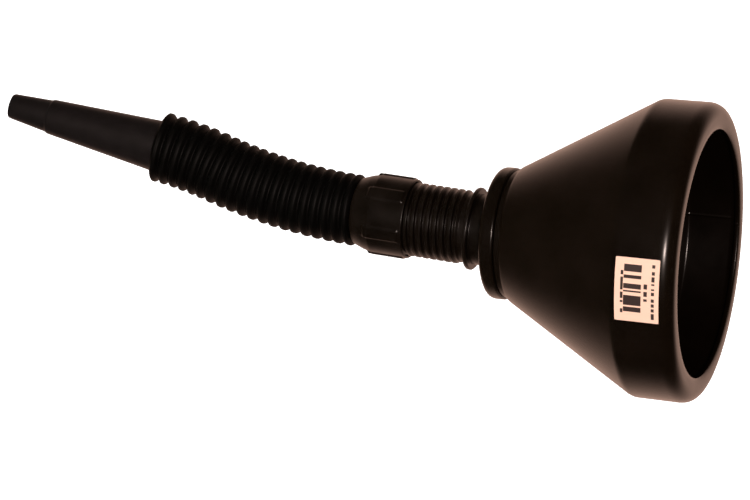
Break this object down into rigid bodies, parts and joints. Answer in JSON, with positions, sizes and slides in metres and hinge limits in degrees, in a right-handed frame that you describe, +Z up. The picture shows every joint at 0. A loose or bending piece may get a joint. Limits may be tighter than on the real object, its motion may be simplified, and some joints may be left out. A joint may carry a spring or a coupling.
{
  "type": "funnel with flexible spout",
  "caption": "Wide black plastic filling funnel with a rolled rim, a lift-out strainer, a threaded neck with coupling nut, a bellows hose and a tapered nozzle.",
  "frame": {"origin": "on the bowl's axis, level with the lower face of the outlet collar", "axes": "+Z up along the bowl's axis to the open mouth; at rest the neck leans and the spout bends towards -X and -Y; the label is on the -Y side of the skirt"},
  "size_m": [0.16, 0.1604, 0.403],
  "materials": {
    "bowl_plastic": "satin, injection moulded",
    "fittings_plastic": "satin, injection moulded",
    "hose_plastic": "dull, blow moulded",
    "nozzle_plastic": "fine matt",
    "seal_rubber": "matt",
    "brass_gauze": "woven wire",
    "label_film": "printed adhesive film"
  },
  "bodies": {
    "bowl": {"bowl": "bowl_plastic", "outlet_collar": "bowl_plastic", "neck_gasket": "seal_rubber", "threaded_neck": "fittings_plastic", "size_label": "label_film"},
    "strainer": {"strainer_ring": "fittings_plastic", "strainer_gauze": "brass_gauze"},
    "hose_top": {"hose_top_cuff": "hose_plastic", "sealing_washer": "seal_rubber", "hose_fold_01": "hose_plastic"},
    "coupling_nut": {"coupling_nut": "fittings_plastic"},
    "fold_02": {"hose_fold_02": "hose_plastic"},
    "fold_03": {"hose_fold_03": "hose_plastic"},
    "fold_04": {"hose_fold_04": "hose_plastic"},
    "fold_05": {"hose_fold_05": "hose_plastic"},
    "fold_06": {"hose_fold_06": "hose_plastic"},
    "fold_07": {"hose_fold_07": "hose_plastic"},
    "fold_08": {"hose_fold_08": "hose_plastic"},
    "fold_09": {"hose_fold_09": "hose_plastic"},
    "fold_10": {"hose_fold_10": "hose_plastic"},
    "fold_11": {"hose_fold_11": "hose_plastic"},
    "fold_12": {"hose_fold_12": "hose_plastic"},
    "fold_13": {"hose_fold_13": "hose_plastic"},
    "fold_14": {"hose_fold_14": "hose_plastic"},
    "fold_15": {"hose_fold_15": "hose_plastic"},
    "fold_16": {"hose_fold_16": "hose_plastic"},
    "fold_17": {"hose_fold_17": "hose_plastic"},
    "fold_18": {"hose_fold_18": "hose_plastic"},
    "fold_19": {"hose_fold_19": "hose_plastic"},
    "nozzle": {"hose_fold_20": "hose_plastic", "hose_end_cuff": "hose_plastic", "nozzle": "nozzle_plastic"}
  },
  "joints": [
    {"name": "strainer_lift", "type": "slide", "parent": "bowl", "child": "strainer", "axis": [0, 0, 1], "range_m": [0, 0.115]},
    {"name": "coupling_travel", "type": "slide", "parent": "bowl", "child": "hose_top", "axis": [0.0506, 0.047, 0.9976], "range_m": [-0.021, 0]},
    {"name": "coupling_turn", "type": "hinge", "parent": "hose_top", "child": "coupling_nut", "pos_m": [-0.00266, -0.00248, -0.04847], "axis": [0.0506, 0.047, 0.9976], "range_deg": [-1800, 0]},
    {"name": "hose_bend_side", "type": "hinge", "parent": "hose_top", "child": "fold_02", "pos_m": [-0.00453, -0.00421, -0.08537], "axis": [0, 0.9989, -0.0471], "range_deg": [-6.5, 6.5]},
    {"name": "hose_bend_front", "type": "hinge", "parent": "fold_02", "child": "fold_03", "pos_m": [-0.00508, -0.0045, -0.09151], "axis": [0.996, -0.0042, -0.0888], "range_deg": [-8.3, 8.3]},
    {"name": "hose_bend_side_03", "type": "hinge", "parent": "fold_03", "child": "fold_04", "pos_m": [-0.00563, -0.00491, -0.09764], "axis": [-0.0017, 0.9978, -0.0662], "range_deg": [-6.5, 6.5]},
    {"name": "hose_bend_front_04", "type": "hinge", "parent": "fold_04", "child": "fold_05", "pos_m": [-0.00641, -0.00532, -0.10375], "axis": [0.9919, -0.0067, -0.1269], "range_deg": [-8.3, 8.3]},
    {"name": "hose_bend_side_05", "type": "hinge", "parent": "fold_05", "child": "fold_06", "pos_m": [-0.0072, -0.00584, -0.10985], "axis": [-0.0041, 0.9964, -0.0852], "range_deg": [-6.5, 6.5]},
    {"name": "hose_bend_front_06", "type": "hinge", "parent": "fold_06", "child": "fold_07", "pos_m": [-0.00822, -0.00637, -0.11591], "axis": [0.9863, -0.01, -0.1647], "range_deg": [-8.3, 8.3]},
    {"name": "hose_bend_side_07", "type": "hinge", "parent": "fold_07", "child": "fold_08", "pos_m": [-0.00923, -0.00701, -0.12196], "axis": [-0.0073, 0.9945, -0.104], "range_deg": [-6.5, 6.5]},
    {"name": "hose_bend_front_08", "type": "hinge", "parent": "fold_08", "child": "fold_09", "pos_m": [-0.01048, -0.00764, -0.12797], "axis": [0.9792, -0.014, -0.2023], "range_deg": [-8.3, 8.3]},
    {"name": "hose_bend_side_09", "type": "hinge", "parent": "fold_09", "child": "fold_10", "pos_m": [-0.01173, -0.0084, -0.13396], "axis": [-0.0112, 0.9924, -0.1227], "range_deg": [-6.5, 6.5]},
    {"name": "hose_bend_front_10", "type": "hinge", "parent": "fold_10", "child": "fold_11", "pos_m": [-0.01321, -0.00915, -0.13991], "axis": [0.9707, -0.0186, -0.2394], "range_deg": [-8.3, 8.3]},
    {"name": "hose_bend_side_11", "type": "hinge", "parent": "fold_11", "child": "fold_12", "pos_m": [-0.01469, -0.01002, -0.14583], "axis": [-0.0158, 0.9899, -0.1412], "range_deg": [-6.5, 6.5]},
    {"name": "hose_bend_front_12", "type": "hinge", "parent": "fold_12", "child": "fold_13", "pos_m": [-0.0164, -0.01088, -0.1517], "axis": [0.9608, -0.024, -0.2761], "range_deg": [-8.3, 8.3]},
    {"name": "hose_bend_side_13", "type": "hinge", "parent": "fold_13", "child": "fold_14", "pos_m": [-0.0181, -0.01186, -0.15755], "axis": [-0.0211, 0.987, -0.1594], "range_deg": [-6.5, 6.5]},
    {"name": "hose_bend_front_14", "type": "hinge", "parent": "fold_14", "child": "fold_15", "pos_m": [-0.02003, -0.01284, -0.16332], "axis": [0.9495, -0.0301, -0.3123], "range_deg": [-8.3, 8.3]},
    {"name": "hose_bend_side_15", "type": "hinge", "parent": "fold_15", "child": "fold_16", "pos_m": [-0.02196, -0.01393, -0.16908], "axis": [-0.0271, 0.9838, -0.1774], "range_deg": [-6.5, 6.5]},
    {"name": "hose_bend_front_16", "type": "hinge", "parent": "fold_16", "child": "fold_17", "pos_m": [-0.02359, -0.01503, -0.17493], "axis": [0.9641, -0.0211, -0.2647], "range_deg": [-8.3, 8.3]},
    {"name": "hose_bend_side_17", "type": "hinge", "parent": "fold_17", "child": "fold_18", "pos_m": [-0.02522, -0.01624, -0.18076], "axis": [-0.0322, 0.9802, -0.1955], "range_deg": [-6.5, 6.5]},
    {"name": "hose_bend_front_18", "type": "hinge", "parent": "fold_18", "child": "fold_19", "pos_m": [-0.02654, -0.01747, -0.18666], "axis": [0.9762, -0.0111, -0.2166], "range_deg": [-8.3, 8.3]},
    {"name": "hose_bend_side_19", "type": "hinge", "parent": "fold_19", "child": "nozzle", "pos_m": [-0.02786, -0.0188, -0.19254], "axis": [-0.0363, 0.9762, -0.2138], "range_deg": [-6.5, 6.5]}
  ],
  "couplings": [
    {"joint": "coupling_travel", "follows": "coupling_turn", "m_per_rad": 0.00066845}
  ]
}
